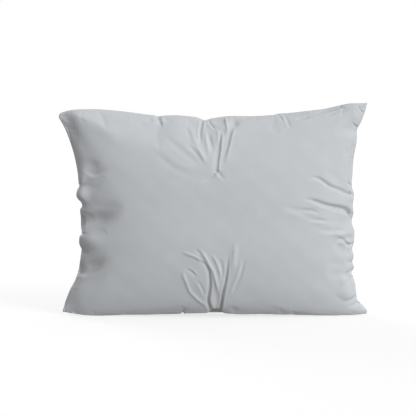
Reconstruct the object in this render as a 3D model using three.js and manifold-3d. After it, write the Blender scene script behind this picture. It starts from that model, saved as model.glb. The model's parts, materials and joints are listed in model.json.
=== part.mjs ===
// A fibre-filled bed pillow standing on its long edge, inside a zipped cover.
// Millimetres, +Z up, the front face looks along -Y. The origin is the centre of the flat foot.
import * as THREE from 'three';
import * as BufferGeometryUtils from 'three/addons/utils/BufferGeometryUtils.js';
import Module from 'manifold-3d';

// Overall size of the stuffed cover
const halfLength = 361;        // corner to centre, along X
const midHeight = 462;         // foot to top seam at the middle
const stuffedDepth = 180;      // front crown to back crown
const sideWaist = 48;          // how far the left seam draws in between its corners
const zipEndWaist = 32;        // the same at the zipped end
const leftEarRise = 14;        // top seam above midHeight at the left corner
const rightEarRise = 34;       // top seam above midHeight at the right corner
const footSink = 15;           // how much of the round bottom the flat foot takes off

// Cloth and seams
const seamGap = 0.3;           // air between the two panels of a seam
const coverWall = 1.2;
const coverHem = 0.8;          // thickness of a seam allowance
const coverAllowance = 9;      // width of a seam allowance
const zipAllowance = 6;        // width of the turned-in edge along the zipped end
const hemRoot = 3;             // from the seam to where the panel's inner face starts
const tickingWall = 0.8;
const tickingHem = 0.6;
const tickingAllowance = 8;
const insertFit = 3;           // air between the cover's seams or zip and the ticking seam
const tickingSlack = 2.5;      // air between cover and ticking at the crown
const fillSlack = 2.5;         // air between ticking and fill at the crown
const threadWall = 0.6;        // thickness of an overlocked edge's thread
const threadFit = 0.35;        // air between that thread and the cloth in it
const threadReach = 3.5;       // how far the overlock thread covers the allowance
const narrowThreadReach = 1.8; // the same on the narrow allowance of the zipped end
const rampFit = 8;             // height between the closed slot and the overlocked stretch beyond it
const restFit = 1.3;           // air under a piece that rests on another
const stitchInset = 10;        // topstitch row from the zipped edge
const stitchWidth = 1.2;
const stitchHeight = 0.5;
const stitchLift = 1.6;        // the row stands clear of the panel's rounded edge
const labelThickness = 0.4;
const labelUs = [-0.93, -0.89, -0.85, -0.8]; // shares of the half length, from the left seam inwards

// Zip in the right end
const slotFit = 0.5;           // air beside the slider between the two turned-in edges
const slotLow = 55;            // the slot is at full width between these heights
const slotTop = 47;            // from the top seam down to the slot's upper end
const slotRamp = 25;           // height over which the slot closes at each end
const tapeReach = 11;          // outer edge of a zip tape from the middle
const tapeThickness = 0.6;
const postHalf = 0.4;          // half of the slider's diamond post
const postFit = 0.4;
const coilWidth = 2.1;
const coilHeight = 2.2;
const zipFit = 0.3;            // air between touching zip pieces
const sliderLength = 11;
const sliderPlate = 1.2;
const sliderRim = 0.7;         // thickness of the slider's side rims
const stopLength = 2.8;
const stopLow = 30;            // lower stops above the slot's lower end
const stopHigh = 10;           // upper stop below the slot's upper end
const tapeTail = 22;           // tape beyond the stops
const postLength = 3;
const bridgeHalfSpan = 3.2;    // from the pull's hinge to the outer face of a bridge leg
const bridgeLeg = 1;           // thickness of a bridge leg
const tabDrop = 4.2;           // from the pull's hinge down to its tab
const tabOverhang = 0.4;       // how far the tab stands out past the arms
const weld = 0.1;              // how far two joined boxes run into each other
const pinHalf = 0.45;          // half of the pull's cross pin
const bridgeHalf = 0.8;        // half width of the slider's bridge
const bridgeWall = 0.9;
const pullArm = 1;             // width of each arm beside the bridge
const pullLength = 22;
const pullThickness = 0.8;
const bartackLength = 4;
const bartackHalf = 3;         // half width of a bar tack across the seam
const bartackFit = 0.3;        // air between a bar tack and the seam

// Mesh fineness
const coverColumns = 24;
const coverRows = 18;
const tickingColumns = 18;
const tickingRows = 12;
const fillColumns = 18;
const fillRows = 12;
const lineClearance = 0.02;

const halfDepth = stuffedDepth / 2;
const zipEdge = halfLength - zipEndWaist;
const slotHigh = midHeight - slotTop;

// Zip: distances in from the zipped edge, half widths, and heights
const tapeOuter = zipAllowance + zipFit;
const coilRoot = tapeOuter - zipFit;
const coilTop = coilRoot - coilHeight;
const plateUnder = coilTop - postFit;
const plateTop = plateUnder - sliderPlate;
const backPlateOuter = tapeOuter + tapeThickness + zipFit;
const coilInner = postHalf + postFit;
const coilOuter = coilInner + coilWidth;
const rimInner = coilOuter + postFit;
const sliderHalf = rimInner + sliderRim;
const slotHalf = sliderHalf + slotFit;
const backPlateInner = backPlateOuter + sliderPlate;
const lowerStop = slotLow + stopLow;
const upperStop = slotHigh - stopHigh;
const sliderLow = lowerStop + zipFit;
const hingeHeight = sliderLow + sliderLength / 2;
const tunnelHeight = 2 * (pinHalf + zipFit);
const hingeX = zipEdge - plateTop + tunnelHeight / 2;

// Seams of the insert, clear of the cover's overlocked seams and of the zip
const threadedSeam = coverAllowance + threadFit + threadWall;
const tickingInset = Math.max(threadedSeam, backPlateInner) + insertFit;

const clamp01 = (t) => Math.min(1, Math.max(0, t));

// The top seam rises to an ear at each corner. u runs from -1 at the left to 1 at the right.
function topSeam(u) {
  return midHeight + (u > 0 ? rightEarRise * u ** 3 : leftEarRise * (-u) ** 1.5);
}

// Left and right seams draw in between the corners. The zipped end stays straight along its slot.
function leftSeam(z) {
  const fromMiddle = Math.abs((2 * z) / (midHeight + leftEarRise) - 1);
  return -halfLength + sideWaist * (1 - clamp01((fromMiddle - 0.15) / 0.85) ** 2.2);
}

function rightSeam(z) {
  const above = clamp01((z - slotHigh) / (midHeight + rightEarRise - slotHigh));
  const below = clamp01((slotLow - z) / slotLow);
  return zipEdge + zipEndWaist * Math.max(above, below) ** 1.6;
}

// A layer is one nested skin: how far its seam lies inside the cover's, its floor and its half depth.
function seamPoint(layer, u, v, extra = { left: 0, right: 0, top: 0, foot: 0 }) {
  const low = -footSink + layer.inset + extra.foot;
  const high = topSeam(u) - layer.inset - extra.top;
  const z = Math.max(layer.floor + extra.foot, low + ((high - low) * (1 + v)) / 2);
  const left = leftSeam(z) + layer.inset + extra.left;
  const right = rightSeam(z) - layer.inset - extra.right;
  return { x: left + ((right - left) * (1 + u)) / 2, z };
}

function slotGap(layer, u, z) {
  if (!layer.slotted) {
    return seamGap / 2;
  }
  const along = Math.min(clamp01((z - slotLow) / slotRamp + 1), clamp01((slotHigh - z) / slotRamp + 1));
  const across = clamp01((u - 0.75) / 0.25);
  return seamGap / 2 + (slotHalf - seamGap / 2) * along * across;
}

const crown = (u, v) => Math.sqrt(Math.max(0, (1 - u * u) * (1 - v * v)));

// A point of a layer's skin. side is -1 for the front and 1 for the back.
function skinPoint(layer, u, v, side) {
  const { x, z } = seamPoint(layer, u, v);
  const y = slotGap(layer, u, z) + layer.hem + (layer.depth - layer.hem) * crown(u, v);
  return new THREE.Vector3(x, side * y, z);
}

// Grid lines crowd towards the seams, where the skin is steep.
function gridLines(count) {
  return Array.from({ length: count + 1 }, (_, i) => Math.sin(Math.PI * (i / count - 0.5)));
}

// Grid lines with some of them put exactly where a feature needs one
function linesThrough(count, exact) {
  const inner = gridLines(count).slice(1, -1);
  const free = inner.filter((line) => exact.every((at) => Math.abs(line - at) > lineClearance));
  return [-1, ...free, ...exact, 1].sort((a, b) => a - b);
}

// The u of a distance in from the zipped edge, and the v of a height on it
const insetLine = (inset) => 1 - (2 * inset) / (zipEdge + halfLength - sideWaist);
const stitchLine = insetLine(stitchInset);
const heightLine = (z) => (2 * (z + footSink)) / (topSeam(1) + footSink) - 1;

const coverUs = linesThrough(coverColumns, [stitchLine, insetLine(hemRoot)]);
const slotHeights = [slotLow - slotRamp, slotLow, slotHigh, slotHigh + slotRamp];
const coverVs = linesThrough(coverRows, slotHeights.map(heightLine));

function gridPoints(us, vs, pointAt) {
  return vs.map((v) => us.map((u) => pointAt(u, v)));
}

function meshFrom(points, triangles) {
  const geometry = new THREE.BufferGeometry();
  const numbers = points.flatMap((p) => [p.x, p.y, p.z]);
  geometry.setAttribute('position', new THREE.Float32BufferAttribute(numbers, 3));
  geometry.setIndex(triangles);
  return geometry;
}

// Collects vertices and quads of a closed surface, then turns it the right way out.
class Shell {
  constructor() {
    this.points = [];
    this.triangles = [];
  }

  add(point) {
    this.points.push(point);
    return this.points.length - 1;
  }

  row(points) {
    return points.map((p) => this.add(p));
  }

  quad(a, b, c, d) {
    this.triangles.push(a, b, c, a, c, d);
  }

  strip(lower, upper) {
    for (let i = 0; i + 1 < lower.length; i += 1) {
      this.quad(lower[i], lower[i + 1], upper[i + 1], upper[i]);
    }
  }

  loop(inner, outer) {
    for (let i = 0; i < inner.length; i += 1) {
      const j = (i + 1) % inner.length;
      this.quad(inner[i], inner[j], outer[j], outer[i]);
    }
  }

  // Corner cells are split from the outer corner inwards, so that no facet lies flat in the seam.
  grid(rows, flip) {
    const lastRow = rows.length - 2;
    const lastColumn = rows[0].length - 2;
    for (let r = 0; r <= lastRow; r += 1) {
      for (let c = 0; c <= lastColumn; c += 1) {
        const cell = [rows[r][c], rows[r][c + 1], rows[r + 1][c + 1], rows[r + 1][c]];
        const rising = (r < rows.length / 2) === (c < rows[0].length / 2);
        const turned = rising ? cell : [cell[1], cell[2], cell[3], cell[0]];
        this.quad(...(flip ? turned.reverse() : turned));
      }
    }
  }

  geometry() {
    let volume = 0;
    for (let i = 0; i < this.triangles.length; i += 3) {
      const [a, b, c] = this.triangles.slice(i, i + 3).map((k) => this.points[k]);
      volume += a.dot(new THREE.Vector3().crossVectors(b, c));
    }
    return meshFrom(this.points, volume < 0 ? this.triangles.reverse() : this.triangles);
  }
}

function rimOf(rows) {
  const last = rows.length - 1;
  const right = rows.slice(1, last).map((row) => row[row.length - 1]);
  const left = rows.slice(1, last).map((row) => row[0]).reverse();
  return [...rows[0], ...right, ...rows[last].slice().reverse(), ...left];
}

// One panel: outer skin, seam allowance turned inwards along the seam plane, inner skin.
function panelGeometry(outer, inner, allowance, us, vs, side) {
  const shell = new Shell();
  const outerRows = gridPoints(us, vs, (u, v) => skinPoint(outer, u, v, side)).map((r) => shell.row(r));
  const innerRows = gridPoints(us, vs, (u, v) => skinPoint(inner, u, v, side)).map((r) => shell.row(r));
  const hemEdge = (hem) => gridPoints(us, vs, (u, v) => {
    const { x, z } = seamPoint(outer, u, v, allowance);
    const seam = seamPoint(outer, u, v);
    return new THREE.Vector3(x, side * (slotGap(outer, u, seam.z) + hem), z);
  });
  const outerRim = rimOf(outerRows);
  const innerRim = rimOf(innerRows);
  const nearEdge = shell.row(rimOf(hemEdge(0)));
  const farEdge = shell.row(rimOf(hemEdge(inner.hem)));
  shell.grid(outerRows, false);
  shell.grid(innerRows, true);
  shell.loop(nearEdge, outerRim);
  shell.loop(farEdge, nearEdge);
  shell.loop(innerRim, farEdge);
  return shell.geometry();
}

// A closed pad: the front and back skins share their rim.
function padGeometry(layer, us, vs) {
  const shell = new Shell();
  const front = gridPoints(us, vs, (u, v) => skinPoint(layer, u, v, -1)).map((r) => shell.row(r));
  const back = gridPoints(us, vs, (u, v) => skinPoint(layer, u, v, 1)).map((r) => shell.row(r));
  shell.grid(front, false);
  shell.grid(back, true);
  shell.loop(rimOf(back), rimOf(front));
  return shell.geometry();
}

// A thin sheet that lies between two layers, such as a sewn-in label or a row of thread.
function sheetGeometry(layer, us, vs, side, low, high) {
  const shell = new Shell();
  const lift = (amount) => gridPoints(us, vs, (u, v) => {
    const p = skinPoint(layer, u, v, side);
    p.y += side * amount;
    return p;
  });
  const under = lift(low).map((r) => shell.row(r));
  const over = lift(high).map((r) => shell.row(r));
  shell.grid(under, true);
  shell.grid(over, false);
  shell.loop(rimOf(under), rimOf(over));
  return shell.geometry();
}

// Sweeps a closed section along a path. The section's w runs inwards from the path, its y across.
function sweepGeometry(path, section) {
  const shell = new Shell();
  const rings = path.map(({ point, inward }) => shell.row(section.map(([w, y]) => (
    new THREE.Vector3(point.x + inward.x * w, y, point.z + inward.z * w)))));
  for (let i = 0; i + 1 < rings.length; i += 1) {
    shell.loop(rings[i], rings[i + 1]);
  }
  const caps = THREE.ShapeUtils.triangulateShape(section.map(([w, y]) => new THREE.Vector2(w, y)), []);
  const clockwise = THREE.ShapeUtils.isClockWise(section.map(([w, y]) => new THREE.Vector2(w, y)));
  for (const [a, b, c] of caps) {
    const first = rings[0];
    const last = rings[rings.length - 1];
    const start = clockwise ? [first[a], first[b], first[c]] : [first[c], first[b], first[a]];
    const end = clockwise ? [last[c], last[b], last[a]] : [last[a], last[b], last[c]];
    shell.triangles.push(...start, ...end);
  }
  return shell.geometry();
}

function boxGeometry(x, y, z) {
  const box = new THREE.BoxGeometry(x[1] - x[0], y[1] - y[0], z[1] - z[0]);
  box.translate((x[0] + x[1]) / 2, (y[0] + y[1]) / 2, (z[0] + z[1]) / 2);
  return box;
}

const wasm = await Module();
wasm.setup();

function solidOf(geometry) {
  const bare = geometry.clone();
  bare.deleteAttribute('normal');
  bare.deleteAttribute('uv');
  const merged = BufferGeometryUtils.mergeVertices(bare, 1e-5);
  return new wasm.Manifold(new wasm.Mesh({
    numProp: 3,
    vertProperties: new Float32Array(merged.attributes.position.array),
    triVerts: new Uint32Array(merged.index.array),
  }));
}

function joined(geometries) {
  const solid = geometries.map(solidOf).reduce((whole, piece) => whole.add(piece));
  const mesh = solid.getMesh();
  const geometry = new THREE.BufferGeometry();
  geometry.setAttribute('position', new THREE.Float32BufferAttribute(mesh.vertProperties, 3));
  geometry.setIndex(Array.from(mesh.triVerts));
  return geometry;
}

const group = new THREE.Group();

function addPart(name, geometry, finish) {
  geometry.computeVertexNormals();
  const mesh = new THREE.Mesh(geometry, new THREE.MeshStandardMaterial(finish));
  mesh.name = name;
  group.add(mesh);
}

const sateen = { color: 0xc4c7cb, roughness: 0.8, metalness: 0 };
const coverThread = { color: 0xb9bcc0, roughness: 0.85, metalness: 0 };
const ticking = { color: 0xf1efe9, roughness: 0.85, metalness: 0 };
const whiteThread = { color: 0xf4f2ec, roughness: 0.85, metalness: 0 };
const fibre = { color: 0xf7f7f5, roughness: 0.95, metalness: 0 };
const satinLabel = { color: 0xfafafa, roughness: 0.6, metalness: 0 };
const zipTape = { color: 0xb9bcc0, roughness: 0.8, metalness: 0 };
const zipCoil = { color: 0xc9ccd0, roughness: 0.4, metalness: 0 };
const zincAlloy = { color: 0x8f9194, roughness: 0.35, metalness: 1 };

// The nested skins, from the outside in
const tickingFloor = threadedSeam + restFit;
const tickingCrown = halfDepth - coverWall - tickingSlack;
const fillInset = tickingInset + tickingAllowance + threadFit + threadWall + restFit;
const fillFloor = tickingFloor + tickingAllowance + threadFit + threadWall + restFit;
const coverOuter = { inset: 0, floor: 0, depth: halfDepth, hem: 0, slotted: true };
const coverInner = {
  inset: hemRoot, floor: coverWall, depth: halfDepth - coverWall, hem: coverHem, slotted: true,
};
const tickingOuter = { inset: tickingInset, floor: tickingFloor, depth: tickingCrown, hem: 0 };
const tickingInner = {
  inset: tickingInset + hemRoot,
  floor: tickingFloor + tickingWall,
  depth: tickingCrown - tickingWall,
  hem: tickingHem,
};
const fillSkin = {
  inset: fillInset,
  floor: fillFloor,
  depth: tickingCrown - tickingWall - fillSlack,
  hem: 0,
};

const evenAllowance = (width) => ({ left: width, right: width, top: width, foot: width });
const coverEdge = { ...evenAllowance(coverAllowance), right: zipAllowance };
const tickingEdge = evenAllowance(tickingAllowance);

function addPanels() {
  const panel = (side) => panelGeometry(coverOuter, coverInner, coverEdge, coverUs, coverVs, side);
  addPart('cover_front_panel', panel(-1), sateen);
  addPart('cover_back_panel', panel(1), sateen);
}

function addInsert() {
  const us = gridLines(tickingColumns);
  const vs = gridLines(tickingRows);
  addPart('ticking_front', panelGeometry(tickingOuter, tickingInner, tickingEdge, us, vs, -1), ticking);
  addPart('ticking_back', panelGeometry(tickingOuter, tickingInner, tickingEdge, us, vs, 1), ticking);
  addPart('fibre_fill', padGeometry(fillSkin, gridLines(fillColumns), gridLines(fillRows)), fibre);
}

// Overlock thread wraps the raw edges of both allowances: a channel section around the allowance's edge.
function channelSection(hem, reach) {
  const slot = seamGap / 2 + hem + threadFit;
  const wall = slot + threadWall;
  const inner = threadFit;
  const outer = inner + threadWall;
  return [[-reach, slot], [inner, slot], [inner, -slot], [-reach, -slot],
    [-reach, -wall], [outer, -wall], [outer, wall], [-reach, wall]];
}

const seamInward = {
  top: { x: 0, z: -1 },
  bottom: { x: 0, z: 1 },
  left: { x: 1, z: 0 },
  right: { x: -1, z: 0 },
};

// A point of an allowance's raw edge, on the straight facet edge between two of its panel's grid lines
function rawEdgePoint(layer, allowance, seam, lines, t) {
  const fixed = seam === 'top' || seam === 'right' ? 1 : -1;
  const alongX = seam === 'top' || seam === 'bottom';
  const pick = (line) => seamPoint(layer, alongX ? line : fixed, alongX ? fixed : line, allowance);
  const next = lines.findIndex((line) => line >= t);
  const share = (t - lines[next - 1]) / (lines[next] - lines[next - 1]);
  const a = pick(lines[next - 1]);
  const b = pick(lines[next]);
  return { x: a.x + (b.x - a.x) * share, z: a.z + (b.z - a.z) * share };
}

function rawEdgePath(layer, allowance, seam, lines, from, to) {
  const stations = [from, ...lines.filter((t) => t > from && t < to), to];
  const pointAt = (t) => rawEdgePoint(layer, allowance, seam, lines, t);
  return stations.map((t) => ({ point: pointAt(t), inward: seamInward[seam] }));
}

function addOverlocks() {
  const wide = channelSection(coverHem, threadReach);
  const narrow = channelSection(coverHem, narrowThreadReach);
  const upperStart = heightLine(slotHigh + slotRamp + rampFit);
  const lowerStart = heightLine(coverAllowance + bartackLength + 2);
  const lowerEnd = heightLine(slotLow - slotRamp - rampFit);
  const runs = [
    ['cover_overlock_top', 'top', coverUs, -0.9, 0.9, wide],
    ['cover_overlock_bottom', 'bottom', coverUs, -0.9, 0.9, wide],
    ['cover_overlock_left', 'left', coverVs, -0.8, 0.85, wide],
    ['cover_overlock_right_upper', 'right', coverVs, upperStart, 0.87, narrow],
    ['cover_overlock_right_lower', 'right', coverVs, lowerStart, lowerEnd, narrow],
  ];
  // from and to are shares of the seam's half length: the corners stay free
  for (const [name, seam, lines, from, to, section] of runs) {
    const path = rawEdgePath(coverOuter, coverEdge, seam, lines, from, to);
    addPart(name, sweepGeometry(path, section), coverThread);
  }
  const tickingUs = gridLines(tickingColumns);
  const tickingVs = gridLines(tickingRows);
  const section = channelSection(tickingHem, threadReach);
  for (const seam of ['top', 'bottom', 'left', 'right']) {
    const lines = seam === 'top' || seam === 'bottom' ? tickingUs : tickingVs;
    const path = rawEdgePath(tickingOuter, tickingEdge, seam, lines, -0.75, 0.75);
    addPart(`ticking_overlock_${seam}`, sweepGeometry(path, section), whiteThread);
  }
}

// Topstitch rows hold the zip tapes' hems, one on each panel, along the crease in that panel.
function addTopstitch() {
  const half = stitchWidth / (zipEdge + halfLength - sideWaist);
  const us = [stitchLine - half, stitchLine + half];
  const vs = coverVs.filter((v) => v >= heightLine(slotLow) && v <= heightLine(slotHigh));
  for (const [name, side] of [['topstitch_front', -1], ['topstitch_back', 1]]) {
    const geometry = sheetGeometry(coverOuter, us, vs, side, stitchLift, stitchLift + stitchHeight);
    addPart(name, geometry, coverThread);
  }
}

const fromEdge = (near, far) => [zipEdge - Math.max(near, far), zipEdge - Math.min(near, far)];
const mirrored = (side, near, far) => (side > 0 ? [near, far] : [-far, -near]);

function addZipTapes() {
  for (const [end, side] of [['front', -1], ['back', 1]]) {
    const tape = boxGeometry(
      fromEdge(tapeOuter, tapeOuter + tapeThickness),
      mirrored(side, coilInner, tapeReach),
      [lowerStop - tapeTail, upperStop + stopLength],
    );
    addPart(`zip_tape_${end}`, tape, zipTape);
    const coil = boxGeometry(
      fromEdge(coilTop, coilRoot),
      mirrored(side, coilInner, coilOuter),
      [lowerStop + zipFit, upperStop - zipFit],
    );
    addPart(`zip_coil_${end}`, coil, zipCoil);
    const stop = boxGeometry(
      fromEdge(plateUnder - sliderPlate / 2, coilRoot),
      mirrored(side, coilInner, sliderHalf - zipFit),
      [lowerStop - stopLength, lowerStop],
    );
    addPart(`zip_stop_closed_${end}`, stop, zincAlloy);
  }
  const openStop = boxGeometry(
    fromEdge(plateUnder - sliderPlate / 2, coilRoot),
    [-(sliderHalf - zipFit), sliderHalf - zipFit],
    [upperStop, upperStop + stopLength],
  );
  addPart('zip_stop_open', openStop, zincAlloy);
}

function addSlider() {
  const z = [sliderLow, sliderLow + sliderLength];
  const bridgeFoot = plateTop + weld;
  const wall = [plateUnder - weld, coilRoot];
  const post = [z[1] - postLength, z[1]];
  const bridgeTop = plateTop - tunnelHeight;
  const bridgeGap = bridgeHalfSpan - bridgeLeg;
  const legs = [-bridgeHalfSpan, -bridgeGap, bridgeGap, bridgeHalfSpan].map((drop) => hingeHeight + drop);
  const across = [-bridgeHalf, bridgeHalf];
  const pieces = [
    boxGeometry(fromEdge(plateTop, plateUnder), [-sliderHalf, sliderHalf], z),
    boxGeometry(fromEdge(backPlateOuter, backPlateInner), [-sliderHalf, sliderHalf], z),
    boxGeometry(fromEdge(plateUnder - weld, backPlateOuter + weld), [-postHalf, postHalf], post),
    boxGeometry(fromEdge(...wall), [rimInner, sliderHalf], z),
    boxGeometry(fromEdge(...wall), [-sliderHalf, -rimInner], z),
    boxGeometry(fromEdge(bridgeTop - bridgeWall, bridgeTop), across, [legs[0], legs[3]]),
    boxGeometry(fromEdge(bridgeTop - weld, bridgeFoot), across, [legs[0], legs[1]]),
    boxGeometry(fromEdge(bridgeTop - weld, bridgeFoot), across, [legs[2], legs[3]]),
  ];
  addPart('zip_slider', joined(pieces), zincAlloy);
}

// The pull hangs from a cross pin through the slider's bridge and swings outwards and up.
function addPull() {
  const armInner = bridgeHalf + zipFit;
  const armOuter = armInner + pullArm;
  const x = [hingeX - pullThickness / 2, hingeX + pullThickness / 2];
  const tabTop = hingeHeight - tabDrop;
  const top = hingeHeight + pinHalf;
  const pieces = [
    boxGeometry([hingeX - pinHalf, hingeX + pinHalf], [-armOuter, armOuter], [hingeHeight - pinHalf, top]),
    boxGeometry(x, [armInner, armOuter], [tabTop - 2 * weld, top]),
    boxGeometry(x, [-armOuter, -armInner], [tabTop - 2 * weld, top]),
    boxGeometry(x, [-armOuter - tabOverhang, armOuter + tabOverhang], [hingeHeight - pullLength, tabTop]),
  ];
  addPart('zip_pull', joined(pieces), zincAlloy);
}

// Bar tacks close the seam outside each end of the slot.
function addBartacks() {
  for (const [name, z] of [['bartack_upper', slotHigh + slotRamp], ['bartack_lower', slotLow - slotRamp]]) {
    const low = z - bartackLength / 2;
    const high = z + bartackLength / 2;
    const seat = Math.max(rightSeam(low), rightSeam(high)) + seamGap + bartackFit;
    const sewn = boxGeometry([seat, seat + threadWall], [-bartackHalf, bartackHalf], [low, high]);
    addPart(name, sewn, coverThread);
  }
}

// Care labels are caught in the left seams, one inside the cover and one on the ticking.
function addLabels() {
  const between = {
    inset: (hemRoot + tickingInset) / 2,
    floor: 0,
    depth: tickingCrown + tickingSlack / 2,
    hem: 0,
  };
  const patches = [
    ['cover_care_label', [-0.45, -0.38, -0.32]],
    ['ticking_care_label', [0.3, 0.36, 0.43]],
  ];
  for (const [name, vs] of patches) {
    const geometry = sheetGeometry(between, labelUs, vs, -1, -labelThickness / 2, labelThickness / 2);
    addPart(name, geometry, satinLabel);
  }
}

addPanels();
addInsert();
addOverlocks();
addTopstitch();
addZipTapes();
addSlider();
addPull();
addBartacks();
addLabels();

export default group;
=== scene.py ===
import json
import math

import bmesh
import bpy
import numpy as np
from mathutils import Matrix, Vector

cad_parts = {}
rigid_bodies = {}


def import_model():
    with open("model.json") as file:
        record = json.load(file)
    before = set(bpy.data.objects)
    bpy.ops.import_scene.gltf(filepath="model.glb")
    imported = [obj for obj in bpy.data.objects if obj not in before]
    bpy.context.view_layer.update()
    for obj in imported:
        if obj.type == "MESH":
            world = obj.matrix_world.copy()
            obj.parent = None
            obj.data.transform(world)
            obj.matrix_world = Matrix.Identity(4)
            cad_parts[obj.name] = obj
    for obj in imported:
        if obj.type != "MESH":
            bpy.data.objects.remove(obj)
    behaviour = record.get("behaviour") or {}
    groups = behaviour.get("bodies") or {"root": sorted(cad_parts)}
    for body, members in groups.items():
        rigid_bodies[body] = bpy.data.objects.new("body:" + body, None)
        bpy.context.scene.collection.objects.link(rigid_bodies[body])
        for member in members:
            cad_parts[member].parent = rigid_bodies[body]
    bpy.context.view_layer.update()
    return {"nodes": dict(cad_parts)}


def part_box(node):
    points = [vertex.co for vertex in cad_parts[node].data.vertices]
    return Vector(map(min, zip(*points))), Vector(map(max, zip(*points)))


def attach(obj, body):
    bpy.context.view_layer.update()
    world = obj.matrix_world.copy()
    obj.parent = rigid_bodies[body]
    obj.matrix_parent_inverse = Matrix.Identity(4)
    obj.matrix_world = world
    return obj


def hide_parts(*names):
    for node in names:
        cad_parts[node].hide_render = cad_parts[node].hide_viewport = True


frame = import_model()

mm = 0.001


def say(words):
    print("pillow:", words, flush=True)


# colours are given as sRGB hex, shaders want linear
def linear(hexColour):
    parts = [int(hexColour[i:i + 2], 16) / 255 for i in (0, 2, 4)]
    return [c / 12.92 if c <= 0.04045 else ((c + 0.055) / 1.055) ** 2.4 for c in parts] + [1.0]


def deselectAll():
    for piece in bpy.context.view_layer.objects:
        piece.select_set(False)


def makeActive(piece):
    deselectAll()
    piece.select_set(True)
    bpy.context.view_layer.objects.active = piece


def applyAll(piece):
    makeActive(piece)
    for modifier in list(piece.modifiers):
        bpy.ops.object.modifier_apply(modifier=modifier.name)


def addNode(tree, kind, settings=None, links=None):
    node = tree.nodes.new(kind)
    for key, value in (settings or {}).items():
        if hasattr(node, str(key)):
            setattr(node, key, value)
        else:
            node.inputs[key].default_value = value
    for key, socket in (links or {}).items():
        tree.links.new(socket, node.inputs[key])
    return node


def newMaterial(name, colour, roughness, **settings):
    material = bpy.data.materials.new(name)
    material.use_nodes = True
    material.diffuse_color = linear(colour)
    shader = material.node_tree.nodes["Principled BSDF"]
    shader.inputs["Base Color"].default_value = linear(colour)
    shader.inputs["Roughness"].default_value = roughness
    for key, value in settings.items():
        shader.inputs[key.replace("_", " ")].default_value = value
    return material, material.node_tree, shader


# a colour that drifts between two near shades over soft patches of the given size
def tone(tree, shader, coordinates, shades, size, detail=2.0):
    noise = addNode(tree, "ShaderNodeTexNoise", {"Scale": 1 / size, "Detail": detail},
                    {"Vector": coordinates})
    ramp = addNode(tree, "ShaderNodeValToRGB", links={"Fac": noise.outputs["Fac"]})
    ramp.color_ramp.elements[0].position = 0.35
    ramp.color_ramp.elements[1].position = 0.65
    ramp.color_ramp.elements[0].color = linear(shades[0])
    ramp.color_ramp.elements[1].color = linear(shades[1])
    tree.links.new(ramp.outputs["Color"], shader.inputs["Base Color"])


def bumpFrom(tree, shader, height, distance, strength=1.0):
    bump = addNode(tree, "ShaderNodeBump", {"Strength": strength, "Distance": distance}, {"Height": height})
    tree.links.new(bump.outputs["Normal"], shader.inputs["Normal"])


# the scale that gives a wave texture stripes this far apart, in metres
def stripes(apart):
    return math.pi / 10 / apart


# two crossed sets of threads, their spacing in metres
def weaveHeight(tree, coordinates, warp, weft):
    place = {"Vector": coordinates}
    across = addNode(tree, "ShaderNodeTexWave", {"bands_direction": "X", "Scale": stripes(warp)}, place)
    along = addNode(tree, "ShaderNodeTexWave", {"bands_direction": "Y", "Scale": stripes(weft)}, place)
    both = addNode(tree, "ShaderNodeMath", {"operation": "MULTIPLY"},
                   {0: across.outputs["Fac"], 1: along.outputs["Fac"]})
    return both.outputs["Value"]


def clothCoordinates(tree):
    return addNode(tree, "ShaderNodeUVMap", {"uv_map": "cloth"}).outputs["UV"]


def objectCoordinates(tree):
    return addNode(tree, "ShaderNodeTexCoord").outputs["Object"]


say("materials")


# mercerised cotton sateen, piece dyed pale grey: smooth, dense, with a faint soft sheen
def makeCoverSateen():
    material, tree, shader = newMaterial("cottonSateen", "c4c7cb", 0.62, Sheen_Weight=0.12,
                                         Sheen_Roughness=0.45, IOR=1.46, Specular_IOR_Level=0.3)
    place = clothCoordinates(tree)
    tone(tree, shader, place, ("c5c8cb", "c7cacd"), 0.035)
    weave = weaveHeight(tree, place, 0.0009, 0.0006)  # real threads are 0.2 mm apart, drawn coarser to show
    slub = addNode(tree, "ShaderNodeTexNoise", {"Scale": 420, "Detail": 3.0}, {"Vector": place})
    mixed = addNode(tree, "ShaderNodeMath", {"operation": "MULTIPLY_ADD", 1: 0.6},
                    {0: slub.outputs["Fac"], 2: weave})
    bumpFrom(tree, shader, mixed.outputs["Value"], 0.00006)
    return material


# matt spun polyester sewing thread: fine twisted ply
def makeThread(name, shades):
    material, tree, shader = newMaterial(name, shades[0], 0.7, Sheen_Weight=0.15)
    place = objectCoordinates(tree)
    tone(tree, shader, place, shades, 0.004)
    twist = addNode(tree, "ShaderNodeTexWave", {"bands_direction": "DIAGONAL", "Scale": stripes(0.0009)},
                    {"Vector": place})
    bumpFrom(tree, shader, twist.outputs["Fac"], 0.00015)
    return material


# woven polyester zip tape: a tight herringbone rib, dyed to the cover
def makeZipTape():
    material, tree, shader = newMaterial("wovenZipTape", "bfc2c6", 0.72, Sheen_Weight=0.1)
    place = objectCoordinates(tree)
    tone(tree, shader, place, ("babdc1", "c2c5c9"), 0.006)
    rib = addNode(tree, "ShaderNodeTexWave", {"bands_direction": "Y", "Scale": stripes(0.0012)},
                  {"Vector": place})
    pick = addNode(tree, "ShaderNodeTexWave", {"bands_direction": "Z", "Scale": stripes(0.0009)},
                   {"Vector": place})
    both = addNode(tree, "ShaderNodeMath", {"operation": "ADD"},
                   {0: rib.outputs["Fac"], 1: pick.outputs["Fac"]})
    bumpFrom(tree, shader, both.outputs["Value"], 0.00012)
    return material


# extruded nylon filament: smooth, slightly glossy
def makeZipCoil():
    material, tree, shader = newMaterial("nylonFilament", "c6c9cd", 0.38, IOR=1.53)
    tone(tree, shader, objectCoordinates(tree), ("c1c4c8", "cbced1"), 0.003)
    return material


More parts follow.
